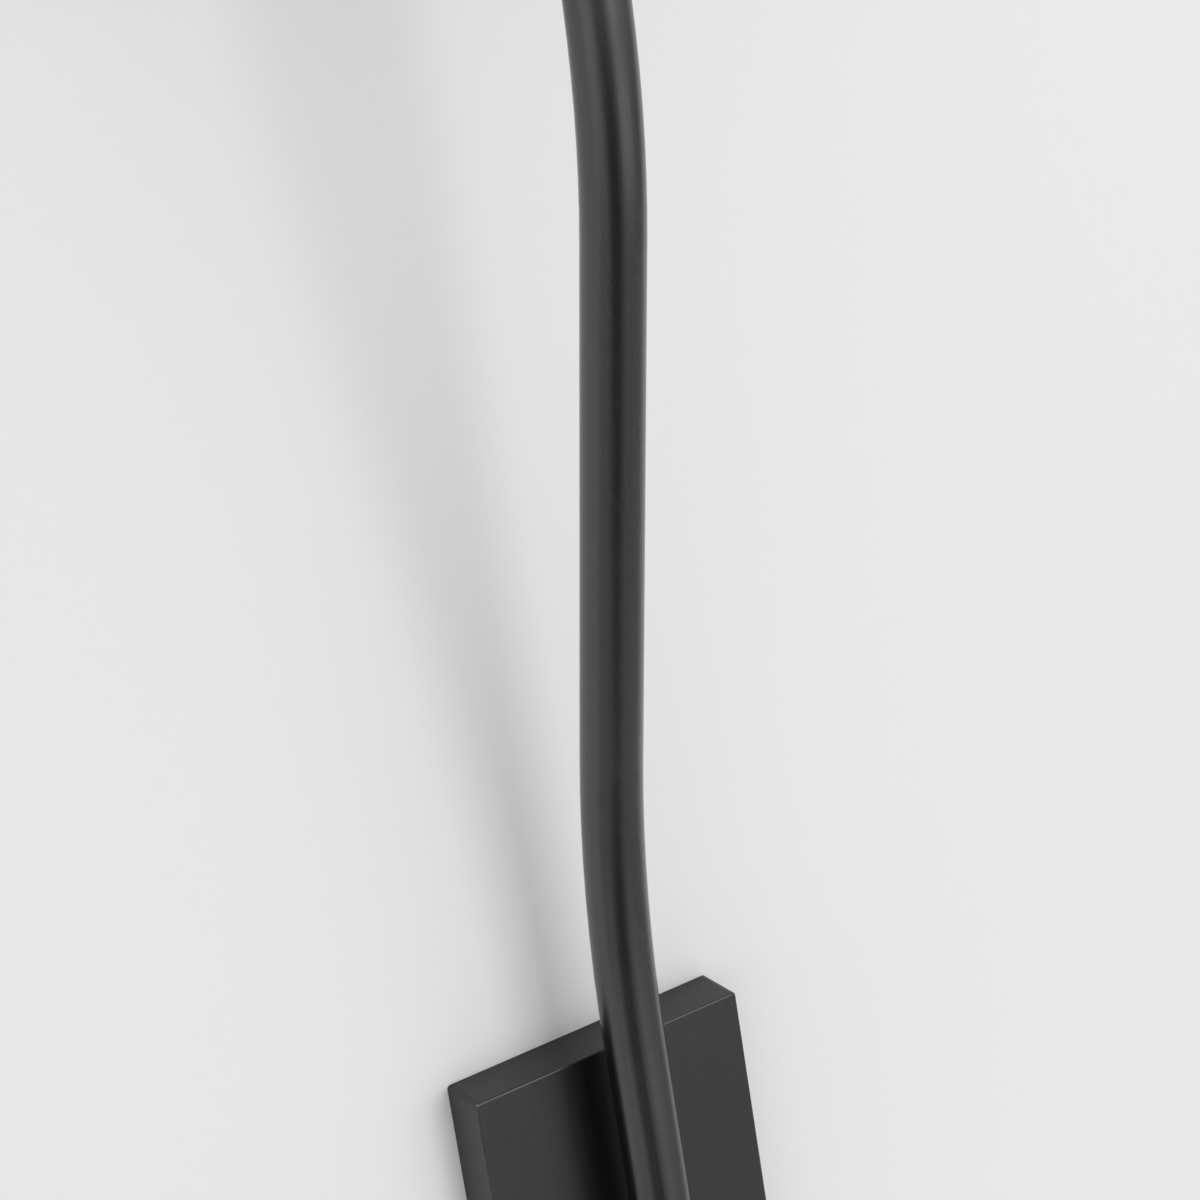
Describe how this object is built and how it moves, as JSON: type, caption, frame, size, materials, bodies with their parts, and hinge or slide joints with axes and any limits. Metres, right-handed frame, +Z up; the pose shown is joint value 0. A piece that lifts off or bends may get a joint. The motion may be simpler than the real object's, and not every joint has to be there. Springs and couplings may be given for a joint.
{
  "type": "wall sconce",
  "caption": "Wall sconce with a rectangular backplate, a tall S-bent tubular arm and a tapered linen shade on a lampholder.",
  "frame": {"origin": "centre of the backplate on the wall, which is the middle of the strap's two screw slots", "axes": "+Z up, +Y into the wall, +X along the wall to the right of someone who faces it"},
  "size_m": [0.1994, 0.2227, 0.8581],
  "materials": {
    "dark_bronze": "satin dark bronze, faintly brushed",
    "zinc_steel": "zinc plated",
    "green_screw": "green passivated steel",
    "brass": "plain",
    "black_phenolic": "moulded, matt",
    "white_plastic": "moulded",
    "socket_ceramic": "unglazed white",
    "black_lead": "smooth insulation",
    "white_lead": "smooth insulation",
    "white_wire": "white powder coat",
    "shade_liner": "matt white",
    "linen": "natural linen weave",
    "linen_tape": "natural linen tape",
    "nickel_cap": "rolled, plain",
    "black_glass": "opaque black glass",
    "opal_glass": "opal white"
  },
  "bodies": {
    "fixture": {"mounting_strap": "zinc_steel", "ground_screw": "green_screw", "backplate": "dark_bronze", "plate_screws": "dark_bronze", "arm_post": "dark_bronze", "post_nipple": "zinc_steel", "lock_washer": "zinc_steel", "post_nut": "zinc_steel", "lead_bushing": "white_plastic", "arm_tube": "dark_bronze", "tube_end_cap": "dark_bronze", "arm_top_plug": "dark_bronze", "socket_nipple": "zinc_steel", "socket_cup": "dark_bronze", "cup_nut": "zinc_steel", "socket_sleeve": "dark_bronze", "lampholder_base": "black_phenolic", "contact_carrier": "socket_ceramic", "terminal_screws": "brass", "centre_contact": "brass", "screw_shell": "brass", "lampholder_skirt": "black_phenolic", "line_lead": "black_lead", "neutral_lead": "white_lead"},
    "shade": {"shade_fitter": "white_wire", "fitter_spokes": "white_wire", "shade_lower_ring": "white_wire", "shade_upper_ring": "white_wire", "shade_liner": "shade_liner", "shade_fabric": "linen", "shade_upper_binding": "linen_tape", "shade_lower_binding": "linen_tape"},
    "ring_nut": {"shade_ring_nut": "black_phenolic"},
    "bulb": {"bulb_contact": "brass", "bulb_insulator": "black_glass", "bulb_cap": "nickel_cap", "bulb_glass": "opal_glass"}
  },
  "joints": [
    {"name": "shade_lift", "type": "slide", "parent": "fixture", "child": "shade", "axis": [0, 0, 1], "range_m": [0, 0.12]},
    {"name": "ring_nut_turn", "type": "hinge", "parent": "shade", "child": "ring_nut", "pos_m": [0, -0.12305, 0.62534], "axis": [0, 0, 1], "range_deg": [0, 1080]},
    {"name": "bulb_lift", "type": "slide", "parent": "fixture", "child": "bulb", "axis": [0, 0, 1], "range_m": [0, 0.05]}
  ]
}
